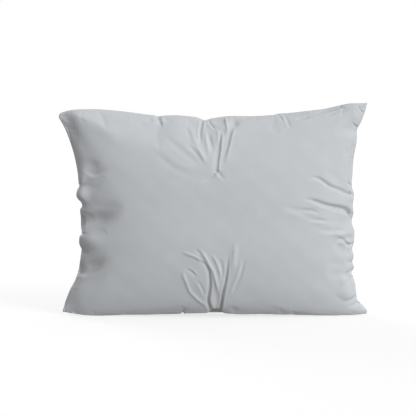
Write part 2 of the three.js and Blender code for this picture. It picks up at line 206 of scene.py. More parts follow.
# die-cast zinc, tumbled and nickel plated: satin metal with fine wear
def makeZinc():
    material, tree, shader = newMaterial("nickelPlatedZinc", "b9babb", 0.32, Metallic=1.0)
    place = objectCoordinates(tree)
    tone(tree, shader, place, ("aeb0b2", "c2c3c4"), 0.0015)
    grain = addNode(tree, "ShaderNodeTexNoise", {"Scale": 2600, "Detail": 4.0}, {"Vector": place})
    bumpFrom(tree, shader, grain.outputs["Fac"], 0.00004)
    return material


# woven polyester satin ribbon: white, close ribs, a little shine
def makeLabelSatin():
    material, tree, shader = newMaterial("labelSatin", "f0efec", 0.45, Sheen_Weight=0.2)
    place = clothCoordinates(tree)
    tone(tree, shader, place, ("ebeae6", "f3f2ef"), 0.01)
    bumpFrom(tree, shader, weaveHeight(tree, place, 0.0005, 0.0005), 0.00005)
    return material


# down-proof cotton cambric: plain weave, natural white, matt
def makeTicking():
    material, tree, shader = newMaterial("cottonCambric", "e9e7e1", 0.8, Sheen_Weight=0.08)
    place = clothCoordinates(tree)
    tone(tree, shader, place, ("e5e3dc", "edebe6"), 0.03)
    bumpFrom(tree, shader, weaveHeight(tree, place, 0.0008, 0.0008), 0.00008)
    return material


# siliconised hollow polyester staple, carded: white, fluffy, very matt
def makeFibre():
    material, tree, shader = newMaterial("cardedPolyesterFibre", "f2f2f0", 0.95, Sheen_Weight=0.4,
                                         Sheen_Roughness=0.7)
    place = objectCoordinates(tree)
    tone(tree, shader, place, ("e9e9e7", "f6f6f5"), 0.02, 6.0)
    tuft = addNode(tree, "ShaderNodeTexNoise", {"Scale": 160, "Detail": 8.0, "Distortion": 1.5},
                   {"Vector": place})
    bumpFrom(tree, shader, tuft.outputs["Fac"], 0.002, 0.8)
    return material


coverSateen = makeCoverSateen()
coverThread = makeThread("coverSewingThread", ("c6c9cc", "d0d2d5"))
tickingThread = makeThread("tickingSewingThread", ("e6e4de", "f0eeea"))
zipTape = makeZipTape()
zipCoil = makeZipCoil()
zinc = makeZinc()
labelSatin = makeLabelSatin()
tickingCotton = makeTicking()
fibre = makeFibre()


def finishPiece(piece, body, material, nodes):
    piece.data.materials.clear()
    piece.data.materials.append(material)
    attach(piece, body)
    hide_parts(*nodes)


# the cover's size comes from its two panels
box = {name: [np.array(corner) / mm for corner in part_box(name)] for name in frame["nodes"]}
halfLength = box["cover_front_panel"][1][0]
halfDepth = box["cover_back_panel"][1][1]
zipRoot = box["zip_coil_front"][0][0]

# The seam line as (x, z) in millimetres. Lines run up the sides and left to right along the top.
outline = {
    "left": [(-352, -20), (-354, 6), (-350, 25), (-345, 40), (-336, 62), (-326, 80), (-320, 96),
             (-315.5, 104), (-316, 110), (-313, 122), (-309.5, 152), (-312, 162), (-314, 172), (-312, 182),
             (-309, 192), (-311, 210), (-311, 228), (-313, 244), (-311.5, 252), (-306.5, 259), (-311, 266),
             (-318, 275), (-320, 284), (-317, 294), (-314, 304), (-317, 325), (-320, 345), (-326, 375),
             (-333, 400), (-340, 420), (-347, 438), (-355, 453), (-360.5, 463), (-360, 472), (-358, 480)],
    "right": [(358, -20), (362, 2), (363, 10), (357, 18), (349, 26), (342, 32), (339, 42), (337.5, 52),
              (335, 72), (331, 86), (326.5, 96), (325.6, 101), (329, 106), (331.5, 112), (330, 119),
              (327, 125), (330, 133), (331, 141), (328.5, 149), (327, 156), (330, 166), (331.5, 176),
              (332.5, 194), (330, 206), (326.5, 215), (325.8, 222), (327, 229), (330, 240), (328.5, 259),
              (330.5, 276), (330.5, 286), (327.5, 297), (325.8, 306), (326, 316), (327.5, 335),
              (328.5, 355), (331, 378), (335, 397), (337, 412), (338, 438), (343, 446), (349, 458),
              (353.5, 470), (358, 484), (361, 498)],
    "top": [(-362, 468), (-358, 474), (-350, 478), (-335, 482), (-310, 484), (-270, 484), (-225, 480.5),
            (-180, 475), (-150, 471), (-138, 470), (-128, 466.5), (-119, 469), (-90, 470), (-60, 468),
            (-36, 464.5), (-20, 458), (-8, 461.5), (8, 464.5), (40, 468), (95, 468), (134, 470),
            (144, 471), (153, 473.5), (180, 475.5), (225, 480.5), (258, 484.5), (285, 490), (308, 495.5),
            (325, 498), (362, 498)],
    # it stands on the two lower ends and arches a little between them
    "bottom": [(-364, 10), (-352, 7), (-335, 3.5), (-312, 0.8), (-285, 0), (-240, 0.6), (-150, 3),
               (-60, 5.5), (20, 6), (100, 4.5), (180, 2), (240, 0.6), (290, 0), (330, 0.6), (366, 2.5)],
}


# a Catmull-Rom line through given points
def smoothLine(points, count=60):
    p = np.array(points, float)
    p = np.vstack([2 * p[0] - p[1], p, 2 * p[-1] - p[-2]])
    spans = len(p) - 3
    out = []
    for i in range(spans):
        t = np.linspace(0, 1, max(3, count // spans + 1), endpoint=i == spans - 1)[:, None]
        a, b, c, d = p[i:i + 4]
        out.append(0.5 * (2 * b + (c - a) * t + (2 * a - 5 * b + 4 * c - d) * t ** 2
                          + (3 * b - a - 3 * c + d) * t ** 3))
    return np.vstack(out)


seamLine = {name: smoothLine(points, 240) for name, points in outline.items()}
easing = {"reach": 26, "end": 30}  # how far it smooths, and how soon it stops at both ends


# the same line without its nips and bulges, which only reach a little way into the cloth
def easedLine(line, along):
    at = line[:, along]
    weights = np.exp(-((at[:, None] - at[None]) / easing["reach"]) ** 2)
    eased = line.copy()
    eased[:, 1 - along] = weights @ line[:, 1 - along] / weights.sum(axis=1)
    ends = np.exp(-np.minimum(at - at.min(), at.max() - at) / easing["end"])
    eased[:, 1 - along] += (line[:, 1 - along] - eased[:, 1 - along]) * ends
    return eased


runsAlong = {"left": 1, "right": 1, "top": 0}
easedSeam = {name: easedLine(seamLine[name], along) for name, along in runsAlong.items()}


def seamX(name, z, lines=seamLine):
    return np.interp(z, lines[name][:, 1], lines[name][:, 0])


def seamTop(x, lines=seamLine):
    return np.interp(x, lines["top"][:, 0], lines["top"][:, 1])


def seamBottom(x):
    return np.interp(x, seamLine["bottom"][:, 0], seamLine["bottom"][:, 1])


def smoothstep(low, high, t):
    s = np.clip((t - low) / (high - low), 0, 1)
    return s * s * (3 - 2 * s)


skin = {
    "crowding": 0.35,  # 0 spaces the grid evenly, 1 crowds it to the seams by a sine
    "squareness": 2.35,  # how flat the crown is
    "roundness": 0.52,  # how blunt the edges are
    "sink": 16,  # how much of the round underside is pressed flat by standing on it
    "sag": 0.10,  # stuffing that has slid down
    "nip": 34,  # how quickly the seam's nips and bulges die out into the cloth
    "seamGap": 0.15,  # from the middle to each panel at the seam
    "hem": 12.6,  # least half depth over the zip tapes
    "hemSteps": (-14, -5, 0.5, 3),  # where that starts, holds, ends and is over, from the zip's inner side
    "ends": 10,  # how soon the underside comes down to the floor towards both ends
    "turn": 12,  # how sharply the turned-in edge changes direction at a corner
    "slotHalf": 4.6,  # half the zip opening
    "slotLow": 55,
    "slotHigh": 415,
    "slotRamp": 25,
    "slotFrom": 0.8,  # where the skin starts to part for it, from 0 at the middle to 1 at the seam
}


# the larger of a value and a limit for way 1, the smaller for way -1, with a soft change between
def softLimit(value, limit, way):
    return 0.5 * (value + limit + way * np.sqrt((value - limit) ** 2 + 1))


def spread(count):
    t = np.linspace(-1, 1, count + 1)
    return (1 - skin["crowding"]) * t + skin["crowding"] * np.sin(t * math.pi / 2)


def slotOpening(z):
    low, high, ramp = skin["slotLow"], skin["slotHigh"], skin["slotRamp"]
    return np.minimum(smoothstep(low - ramp, low, z), 1 - smoothstep(high, high + ramp, z))


# one side's smooth skin before any crease, as a grid of points in millimetres
def baseSkin(side, columns, rows, depth, inset=0.0, floor=0.0, slotted=False):
    u, v = np.meshgrid(spread(columns), spread(rows))
    x = u * (halfLength - inset)
    nip = skin["nip"]
    sink = skin["sink"] * (1 - np.abs(u) ** skin["ends"])
    for step in range(6):  # x and z depend on each other, so they settle in a few rounds
        top = seamTop(x, easedSeam)
        bottom = seamBottom(x) * np.abs(u) ** skin["ends"]
        z = (bottom + inset - sink) * (1 - v) / 2 + (top - inset) * (1 + v) / 2
        z = z + (seamTop(x) - top) * ((1 + v) / 2) ** nip
        low = np.maximum(z, 0)
        left, right = seamX("left", low, easedSeam), seamX("right", low, easedSeam)
        x = (left + inset) * (1 - u) / 2 + (right - inset) * (1 + u) / 2
        x = x + (seamX("left", low) - left) * ((1 - u) / 2) ** nip
        x = x + (seamX("right", low) - right) * ((1 + u) / 2) ** nip
    crown = ((1 - np.abs(u) ** skin["squareness"]) * (1 - np.abs(v) ** skin["squareness"])).clip(0)
    y = skin["seamGap"] + depth * crown ** skin["roundness"] * (1 - skin["sag"] * v)
    if slotted:
        parted = slotOpening(z) * smoothstep(skin["slotFrom"], 1, u)
        y = y + (skin["slotHalf"] - skin["seamGap"]) * parted
    return np.dstack([x, side * y, np.maximum(z, floor + seamBottom(x))])


def gridNormals(grid, side):
    normal = np.cross(np.gradient(grid, axis=1), np.gradient(grid, axis=0))
    normal /= np.linalg.norm(normal, axis=2, keepdims=True) + 1e-9
    return -side * normal


# twice as fine, new points on smooth curves through the old ones
def finerGrid(grid):
    for axis in (0, 1):
        g = np.moveaxis(grid, axis, 0)
        p = np.concatenate([2 * g[:1] - g[1:2], g, 2 * g[-1:] - g[-2:-1]])
        fine = np.empty((2 * len(g) - 1,) + g.shape[1:])
        fine[::2] = g
        fine[1::2] = (9 * p[1:-2] + 9 * p[2:-1] - p[:-3] - p[3:]) / 16
        grid = np.moveaxis(fine, 0, axis)
    return grid


# A fold is a valley along a line of (x, z) points, with a depth and a width that may change to depthEnd
# and widthEnd on the way. Its flank towards the upper right is "lit" times as wide and the other
# "shaded" times, and a lip may rise beside either. It fades in and out over these shares of its length.
def fold(path, depth, width, depthEnd=None, widthEnd=None, lit=1, shaded=1, lipLit=0, lipShaded=0,
         fade=(0.3, 0.4)):
    return {
        "line": smoothLine(path, 48),
        "depth": (depth, depth if depthEnd is None else depthEnd),
        "width": (width, width if widthEnd is None else widthEnd),
        "flanks": (lit, shaded),
        "lips": (lipLit, lipShaded),
        "fade": fade,
    }


# a broad hollow or bulge: where, how wide and tall, and how far it stands out
def dome(at, size, lift, turn=0):
    return {"at": at, "size": size, "lift": lift, "turn": math.radians(turn)}


lipAway = 1.6  # from the valley to the top of its lip, in widths
foldReach = 3.6  # where a fold has died out, in widths
upperRight = (0.6, 0.8)  # in x and z, where most of the light comes from


# How far a fold lifts the cloth at each point. What lies under the cloth keeps only the valleys, wider.
def foldLift(x, z, shape, under):
    line = shape["line"]
    width, widthEnd = (w + under for w in shape["width"])
    flanks = shape["flanks"]
    reach = foldReach * max(width, widthEnd) * max(flanks)
    near = ((x > line[:, 0].min() - reach) & (x < line[:, 0].max() + reach)
            & (z > line[:, 1].min() - reach) & (z < line[:, 1].max() + reach))
    out = np.zeros_like(x)
    if not near.any():
        return out
    px, pz = x[near], z[near]
    segments = np.diff(line, axis=0)
    length = np.concatenate([[0], np.cumsum(np.linalg.norm(segments, axis=1))])
    chord = line[-1] - line[0]
    turn = 1 if upperRight[1] * -chord[1] + upperRight[0] * chord[0] > 0 else -1
    best = np.full(px.shape, 1e9)
    signed = np.zeros_like(px)
    at = np.zeros_like(px)
    for i, (dx, dz) in enumerate(segments):
        size = dx * dx + dz * dz + 1e-12
        t = np.clip(((px - line[i, 0]) * dx + (pz - line[i, 1]) * dz) / size, 0, 1)
        ox, oz = px - line[i, 0] - t * dx, pz - line[i, 1] - t * dz
        distance = np.hypot(ox, oz)
        closer = distance < best
        best = np.where(closer, distance, best)
        signed = np.where(closer, turn * np.sign(dx * oz - dz * ox) * distance, signed)
        at = np.where(closer, (length[i] + t * math.sqrt(size)) / length[-1], at)
    width = width * (1 - at) + widthEnd * at
    start, end = shape["fade"]
    taper = smoothstep(-1e-3, start, at) if start > 0 else 1.0
    taper = taper * (smoothstep(-1e-3, end, 1 - at) if end > 0 else 1.0)
    depth = shape["depth"][0] * (1 - at) + shape["depth"][1] * at
    flank = width * np.where(signed > 0, flanks[0], flanks[1])
    valley = np.exp(-(best / flank) ** 2)
    if under:
        out[near] = -np.maximum(depth, 0) * valley * taper
        return out
    lift = -depth * valley
    lift = lift + shape["lips"][0] * np.exp(-((signed - lipAway * width) / width) ** 2)
    lift = lift + shape["lips"][1] * np.exp(-((signed + lipAway * width) / width) ** 2)
    out[near] = lift * taper
    return out


def domeLift(x, z, shape, under):
    turn = shape["turn"]
    dx, dz = x - shape["at"][0], z - shape["at"][1]
    a = dx * math.cos(turn) + dz * math.sin(turn)
    b = dz * math.cos(turn) - dx * math.sin(turn)
    wide, tall = (size + under for size in shape["size"])
    return shape["lift"] * np.exp(-(a / wide) ** 2 - (b / tall) ** 2)


frontDomes = [
    dome((-270, 228), (36, 16), -11, turn=24),  # the big dent at the left
    dome((-306, 302), (12, 40), 3.5),
    dome((66, 3), (26, 11), 3),
    dome((-335, 22), (22, 34), -4),
    dome((-286, 180), (28, 22), 9),
    dome((-278, 122), (30, 12), -6, turn=20),
    dome((-306, 282), (14, 18), 5.8),
    dome((-281, 352), (16, 13), -4),
    dome((-336, 440), (15, 34), -6, turn=24),  # below the rolled corner
    dome((-318, 468), (36, 9), 3, turn=-22),
    dome((14, 455), (17, 5), -3),
    dome((49, 452), (9, 9), -5),
    dome((24, 430), (4, 6), -2.5),
    dome((6, 8), (10, 6), -30),  # the pocket between the lower pleats
    dome((9, 40), (8, 24), -4),
    dome((292, 193), (12, 5), 3),
    dome((316, 183), (11, 7), -3.5),
    dome((300, 172), (7, 4), 2),
    dome((304, 85), (11, 12), 3),
    dome((314, 55), (20, 26), 4),
    dome((335, 468), (14, 18), 3),
    dome((285, 478), (30, 5), -3, turn=12),
    dome((0, 250), (150, 60), -2.5),  # the crown is a little flat
]

# Folds of the front, read from left to right and top to bottom.
frontFolds = [
    # the middle of the top seam
    fold([(-127, 468), (-124, 455), (-117, 440)], 3.8, 3.4, shaded=1.6, lipLit=0.8, fade=(0, 0.5)),
    fold([(-24, 464), (-27, 448), (-30, 425), (-28, 398)], 5.2, 3.1, lipLit=0.9, lipShaded=1.5,
          fade=(0, 0.6)),
    fold([(-12, 458), (-4, 446), (6, 436)], 2.8, 2.5, lipShaded=1.2, fade=(0.2, 0.4)),
    fold([(28, 464), (32, 446), (35, 428)], -2.8, 2.9, fade=(0.1, 0.4)),
    fold([(47, 446), (39, 424), (34, 402), (28, 380), (22, 350)], 2.1, 3.6, shaded=1.9, lipLit=1.4,
          fade=(0.2, 0.45)),
    fold([(20, 440), (16, 415), (14, 390), (10, 362), (8, 338)], 2.4, 3, shaded=2.4, lipLit=1.8,
          fade=(0.25, 0.06)),
    fold([(10, 344), (-3, 330), (-15, 322), (-30, 316)], 2.9, 3.8, lipLit=0.4, lipShaded=0.4,
          fade=(0.1, 0.6)),
    fold([(8, 344), (18, 330), (30, 321)], 2.2, 3.8, lipShaded=0.6, fade=(0.1, 0.6)),
    fold([(-66, 445), (-56, 428), (-45, 410)], 1.3, 5.1, lipLit=0.6, fade=(0.4, 0.4)),
    fold([(-65, 405), (-45, 388), (-30, 370), (-20, 350)], 1.2, 4.2, lipLit=1, fade=(0.35, 0.35)),
    fold([(-60, 442), (-40, 405), (-25, 376), (-10, 358)], -1.9, 5.1, fade=(0.4, 0.3)),
    fold([(-20, 440), (-15, 405), (-8, 372)], -2.1, 4.2),
    fold([(-12, 432), (-5, 405), (1, 380)], 2.2, 3.8, fade=(0.3, 0.5)),
    fold([(8, 442), (12, 420), (8, 398)], -1.8, 3.4, fade=(0.4, 0.4)),
    fold([(-124, 430), (-66, 383), (-16, 346)], 1.2, 7.6, lipLit=0.5, fade=(0.4, 0.3)),
    fold([(-150, 400), (-89, 348), (-26, 324)], 1.1, 8.5, lipLit=0.4, fade=(0.4, 0.3)),
    # right of the middle, and the right ear
    fold([(150, 474), (158, 464), (166, 452)], 1.9, 3.2, lipLit=0.6, fade=(0.1, 0.5)),
    fold([(166, 470), (174, 455), (181, 436)], 1.6, 3.4, lipShaded=0.5, fade=(0.2, 0.5)),
    fold([(190, 462), (212, 463), (232, 470)], 2.4, 3.4, lipShaded=0.6),
    fold([(228, 472), (255, 479), (285, 487), (306, 491)], 3.6, 3.4, lipShaded=1.2, fade=(0.5, 0.1)),
    fold([(306, 492), (303, 481), (296, 472)], 1.5, 3.2, lipLit=0.5, fade=(0.1, 0.6)),
    fold([(340, 491), (345, 482), (352, 472)], 2.8, 2.5, lipShaded=0.9, fade=(0.2, 0.3)),
    fold([(339, 441), (331, 446), (322, 456)], 2.2, 3, lipLit=0.6, fade=(0.1, 0.6)),
    fold([(340, 430), (330, 436)], 2, 2.2, fade=(0.1, 0.5)),
    # the right edge, where the creases run round to the back
    fold([(218, 326), (240, 325), (255, 317), (275, 304), (298, 296), (314, 288), (330, 284)], 3, 3.6,
          depthEnd=7, shaded=1.7, lipShaded=1.4, fade=(0.3, 0)),
    fold([(203, 277), (222, 275), (242, 269), (262, 262), (285, 256), (308, 251), (320, 242), (330, 228)],
          3, 3.6, depthEnd=12, widthEnd=5, shaded=1.6, lipShaded=1.6, fade=(0.3, 0)),
    fold([(196, 251), (222, 250), (250, 244)], 2.4, 4.2, lipShaded=1.1, fade=(0.4, 0.4)),
    fold([(216, 229), (245, 227), (274, 224)], 2.1, 3.9, lipShaded=1, fade=(0.4, 0.4)),
    fold([(150, 262), (190, 252), (235, 236)], 1.4, 7.6, lipShaded=0.6, fade=(0.5, 0.4)),
    fold([(236, 206), (275, 202), (312, 202)], 1.6, 6, lipShaded=0.6, fade=(0.4, 0.3)),
    fold([(286, 176), (296, 182), (305, 180), (313, 171), (323, 166), (333, 171)], 3.6, 2.9, depthEnd=7,
          shaded=1.6, lipShaded=1.2, fade=(0.2, 0)),
    fold([(318, 127), (330, 124)], 3.2, 2.5, lipShaded=0.8, fade=(0.5, 0)),
    fold([(307, 94), (318, 100), (331, 109)], 5.6, 2.4, lit=1.4, lipShaded=1.2, fade=(0.25, 0)),
    fold([(312, 316), (321, 308), (330, 304)], 3.2, 2.9, lipLit=1, fade=(0.5, 0)),
    fold([(305, 68), (316, 80), (330, 90)], 1.4, 3.4, fade=(0.5, 0)),
    fold([(345, 30), (330, 24), (312, 20)], 1.9, 4.2, lipLit=0.8, fade=(0.1, 0.6)),
    fold([(338, 47), (322, 38), (300, 34)], 1.6, 4.2, lipLit=0.7, fade=(0.1, 0.6)),
    # the left edge
    fold([(-304, 350), (-291, 338), (-279, 332), (-266, 335), (-252, 342), (-238, 350)], 4, 3, lit=4,
          shaded=1.7, lipShaded=0.3, fade=(0.5, 0.6)),
    fold([(-326, 276), (-310, 266), (-300, 256)], 4.4, 3.4, lit=1.7, lipShaded=1.2, fade=(0, 0.6)),
    fold([(-312, 281), (-303, 273), (-296, 266)], 2, 2.5, fade=(0.3, 0.5)),
    fold([(-322, 230), (-300, 221), (-276, 222), (-252, 227), (-236, 236), (-220, 249), (-202, 262)], 4, 6,
          depthEnd=5, lit=3.4, shaded=2.6, fade=(0.1, 0.8)),
    fold([(-320, 103), (-302, 101), (-288, 105), (-272, 112), (-252, 125)], 6.5, 4.4, lit=3.8, shaded=1.6,
          lipShaded=0.4, fade=(0, 0.6)),
    fold([(-316, 190), (-304, 192), (-290, 190)], 2.4, 4.2, lipShaded=0.8, fade=(0, 0.6)),
    fold([(-318, 302), (-304, 306), (-288, 312)], 2.1, 5.1, fade=(0, 0.6)),
    fold([(-316, 152), (-302, 148), (-286, 150)], 1.9, 4.2, fade=(0, 0.6)),
    fold([(-346, 477), (-312, 466), (-272, 447), (-232, 420), (-205, 385)], -3.6, 20, fade=(0.2, 0.5)),
    fold([(-350, 455), (-328, 428), (-306, 396), (-290, 360)], 2, 19, fade=(0.3, 0.5)),
    # the middle of the bottom seam: two deep pleats and the leaf between them and the left
    fold([(-66, 118), (-69, 102), (-62, 84), (-54, 63), (-40, 47), (-24, 33), (-6, 16)], -2.1, 3.4,
          fade=(0.2, 0.3)),
    fold([(-74, 156), (-54, 149), (-38, 142), (-24, 128)], -2.1, 3.2, fade=(0.3, 0.3)),
    fold([(-66, 151), (-46, 141), (-30, 134), (-18, 126), (-11, 113), (-8, 98), (-7, 80), (-9, 60),
          (-11, 40), (-7, 24), (1, 8)], 0.8, 2.6, depthEnd=8, widthEnd=3, shaded=1.4, lipLit=0.9,
          fade=(0.5, 0)),
    fold([(-42, 162), (-34, 155), (-26, 149)], 1.6, 2.5, fade=(0.4, 0.4)),
    fold([(-32, 162), (-20, 146), (-9, 126), (0, 110), (5, 92), (10, 70), (13, 50)], -3.2, 3.4,
          fade=(0.2, 0.25)),
    fold([(-62, 116), (-49, 108), (-38, 96)], 1.8, 2.9, lipLit=0.9),
    fold([(-40, 92), (-28, 74), (-18, 50)], 1.3, 3.1, lipShaded=0.8, fade=(0.4, 0.3)),
    fold([(-4, 152), (4, 138), (11, 122), (17, 100), (19, 84)], -2.2, 2.7),
    fold([(13, 144), (20, 122), (21, 100), (17, 80)], 1.7, 2.8),
    fold([(33, 168), (34, 142), (33, 120), (31, 100), (28, 80), (24, 62), (21, 42), (19, 24), (16, 8)],
          0.8, 2.8, depthEnd=9, widthEnd=2.2, shaded=1.4, lipLit=1, fade=(0.45, 0)),
    fold([(52, 184), (49, 150), (43, 108)], -2.4, 6, fade=(0.4, 0.4)),
    fold([(73, 142), (68, 120), (62, 98), (52, 74), (44, 50)], 1.9, 3.8, lipShaded=1.4),
    fold([(-71, 2), (-70, 11), (-67, 20)], 4, 2.4, lipLit=1, fade=(0, 0.6)),
]

backDomes = [
    dome((255, 240), (36, 18), -8, turn=-24),
    dome((-270, 140), (30, 22), 4),
    dome((268, 120), (34, 16), -5, turn=-18),
    dome((-6, 456), (15, 5), -3),
    dome((4, 14), (14, 8), -8),
    dome((318, 470), (22, 14), 3),
    dome((0, 250), (150, 60), -2.5),
]

# The back was sewn the same way, so its folds start at the same notches and fall their own way.
backFolds = [
    fold([(-18, 464), (-16, 440), (-8, 408), (-2, 372), (4, 340)], 6, 3.8, shaded=2, lipLit=3.4,
          fade=(0, 0.15)),
    fold([(-40, 458), (-34, 430), (-22, 396), (-12, 366)], 4, 4.2, lipShaded=2.4, fade=(0.15, 0.4)),
    fold([(14, 460), (18, 434), (16, 400), (10, 370)], 4.4, 4, lipLit=2.6, fade=(0.1, 0.4)),
    fold([(50, 452), (44, 420), (32, 384), (22, 356)], 3.4, 5, lipLit=2),
    fold([(4, 344), (-10, 328), (-28, 318)], 3.6, 4.4, fade=(0.1, 0.6)),
    fold([(4, 344), (18, 330), (36, 322)], 3.4, 4.4, fade=(0.1, 0.6)),
    fold([(-88, 440), (-58, 404), (-26, 364)], 2.6, 8, lipLit=1.6, fade=(0.4, 0.4)),
    fold([(96, 436), (66, 400), (34, 362)], 2.6, 8, lipLit=1.6, fade=(0.4, 0.4)),
    fold([(-127, 468), (-129, 454), (-136, 438)], 5, 4, lipLit=1.6, fade=(0, 0.5)),
    fold([(148, 474), (144, 460), (134, 444)], 4.4, 4, lipShaded=1.6, fade=(0, 0.5)),
    fold([(-316, 345), (-296, 338), (-270, 340)], 3.4, 5, lipShaded=1.8, fade=(0, 0.5)),
    fold([(-312, 259), (-288, 254), (-256, 258), (-228, 268)], 6, 4.6, lit=2, lipShaded=3, fade=(0, 0.4)),
    fold([(-318, 103), (-296, 98), (-268, 102), (-240, 112)], 6, 4.6, lit=2, lipShaded=2.6,
          fade=(0, 0.4)),
    fold([(-314, 190), (-292, 196), (-264, 194)], 3, 5.5, lipShaded=1.4, fade=(0, 0.5)),
    fold([(330, 305), (306, 300), (274, 304), (240, 316)], 6, 4.6, lit=2, lipShaded=3, fade=(0, 0.35)),
    fold([(330, 225), (308, 222), (280, 228), (238, 238)], 7, 4.6, lit=2.2, lipShaded=3.4,
          fade=(0, 0.35)),
    fold([(330, 125), (306, 122), (276, 130)], 4, 4.4, lipShaded=2, fade=(0, 0.5)),
    fold([(330, 101), (312, 96), (290, 92)], 5, 3.6, lipShaded=2, fade=(0, 0.5)),
    fold([(250, 268), (222, 276), (190, 276)], 2.4, 6, fade=(0.3, 0.5)),
    fold([(340, 441), (324, 446), (306, 458)], 3.4, 4, fade=(0, 0.6)),
    fold([(-8, 2), (-10, 30), (-14, 62), (-26, 96), (-48, 128)], 8, 4.2, depthEnd=3, lit=1.6, lipShaded=3,
          fade=(0, 0.4)),
    fold([(17, 2), (20, 34), (26, 70), (36, 108), (44, 150)], 8, 4.2, depthEnd=3, shaded=1.6, lipLit=3,
          fade=(0, 0.4)),
    fold([(2, 12), (4, 50), (6, 90), (0, 130)], -3, 5),
    fold([(-70, 2), (-66, 22), (-56, 46)], 4.4, 3.8, lipLit=1.6, fade=(0, 0.5)),
    fold([(66, 60), (76, 96), (80, 132)], 2.4, 6, fade=(0.4, 0.4)),
]

creases = {-1: (frontFolds, frontDomes), 1: (backFolds, backDomes)}

pucker = {
    "height": 0.28,  # how far the cloth ripples where the seam gathers it
    "fade": 9,  # how soon the ripples die out away from the seam
    "lengths": (8.3, 13.1, 21.7, 34.9),
    "lump": 0.5,  # uneven stuffing under the cloth
    "lumpLengths": (63, 91, 138),
    "seed": 7,
}


# crossed waves, turned and shifted by chance
def bumps(x, z, length, random):
    turn, first, second = random.uniform(0, 6.3, 3)
    a = 2 * math.pi * (x * math.cos(turn) + z * math.sin(turn)) / length
    b = 2 * math.pi * (z * math.cos(turn) - x * math.sin(turn)) / length
    return np.sin(a + first) * np.sin(b + second)


def seamPucker(x, z, side):
    random = np.random.default_rng(pucker["seed"] + side)
    fromSeam = [x - seamX("left", z), seamX("right", z) - x, seamTop(x) - z]
    total = np.zeros_like(x)
    for away, along in zip(fromSeam, (z, z, x)):  # the lowest seam is smoothed by the pillow's weight
        wave = sum(np.sin(2 * math.pi * along / length + random.uniform(0, 6.3))
                   for length in pucker["lengths"])
        total += wave * pucker["height"] / 2 * np.exp(-np.maximum(away, 0) / pucker["fade"])
    for length in pucker["lumpLengths"]:
        total += pucker["lump"] / 3 * bumps(x, z, length, random)
    return total


stitching = {
    "fromEdge": 10,  # the row of topstitching beside the zip
    "low": 55,
    "high": 412,
    "stitch": 3.0,
    "pitch": 3.7,
    "thick": 0.55,
    "sunk": 0.7,  # how far the thread pulls the cloth in
    "pull": 2.0,  # half the width that it pulls in
    "ramp": 8,
    "proud": 0.3,  # how far the thread's middle stands out of the cloth
}


def stitchValley(x, z):
    low, high, ramp = stitching["low"], stitching["high"], stitching["ramp"]
    off = (seamX("right", z) - x - stitching["fromEdge"]) / stitching["pull"]
    run = smoothstep(low - ramp, low, z) * (1 - smoothstep(high, high + ramp, z))
    return -stitching["sunk"] * np.exp(-off ** 2) * run


# The cloth after its folds. A piece under it gives way by so many millimetres more beside each valley.
def crease(grid, side, floor=0.0, under=0.0):
    folds, domes = creases[side]
    x, z = grid[..., 0].copy(), grid[..., 2].copy()
    lift = np.zeros_like(x)
    for shape in folds:
        lift += foldLift(x, z, shape, under)
    for shape in domes:
        if shape["lift"] < 0 or not under:
            lift += domeLift(x, z, shape, under)
    if not under:
        lift += seamPucker(x, z, side) + stitchValley(x, z)
    rim = np.ones_like(x)  # the seam itself stays where it was sewn
    for edge in (rim, rim.T):
        edge[0] = edge[-1] = 0
        edge[1] *= 0.5
        edge[-2] *= 0.5
    grid = grid + gridNormals(grid, side) * (lift * rim)[..., None]
    out = side * grid[..., 1]
    if not under:  # no fold goes deeper than the hem over the zip tape
        low, full, end, past = (zipRoot + step for step in skin["hemSteps"])
        over = smoothstep(low, full, grid[..., 0]) * (slotOpening(z) > 0)
        over = over * (1 - smoothstep(end, past, grid[..., 0]))
        out = out + over * (softLimit(out, skin["hem"], 1) - out)
    grid[..., 1] = side * np.maximum(out, skin["seamGap"])
    grid[..., 2] = np.maximum(grid[..., 2], floor + seamBottom(grid[..., 0]))
    return grid


def meshFromGrid(name, grid, side, rings=()):
    rows, columns = grid.shape[:2]
    index = np.arange(rows * columns).reshape(rows, columns)
    quads = [np.dstack([index[:-1, :-1], index[:-1, 1:], index[1:, 1:], index[1:, :-1]]).reshape(-1, 4)]
    loop = np.concatenate([index[0, :-1], index[:-1, -1], index[-1, :0:-1], index[:0:-1, 0]])
    points = [grid.reshape(-1, 3)]
    lastLoop = loop
    count = rows * columns
    for ring in rings:
        points.append(ring.reshape(-1, 3)[loop])
        newLoop = np.arange(count, count + len(loop))
        count += len(loop)
        quads.append(np.stack([np.roll(lastLoop, -1), lastLoop, newLoop, np.roll(newLoop, -1)], axis=1))
        lastLoop = newLoop
    points = np.vstack(points)
    quads = np.vstack(quads)
    if side > 0:
        quads = quads[:, ::-1]
    mesh = bpy.data.meshes.new(name)
    mesh.from_pydata((points * mm).tolist(), [], quads.tolist())
    across = np.concatenate([[0], np.cumsum(np.linalg.norm(np.diff(grid[rows // 2], axis=0), axis=1))])
    upward = np.concatenate([[0], np.cumsum(np.linalg.norm(np.diff(grid[:, columns // 2], axis=0), axis=1))])
    flat = np.dstack(np.meshgrid(across, upward)).reshape(-1, 2)
    flat = np.vstack([flat] + [flat[loop]] * len(rings)) * mm
    layer = mesh.uv_layers.new(name="cloth")
    layer.data.foreach_set("uv", flat[quads.reshape(-1)].reshape(-1))
    mesh.shade_smooth()
    piece = bpy.data.objects.new(name, mesh)
    bpy.context.scene.collection.objects.link(piece)
    return piece


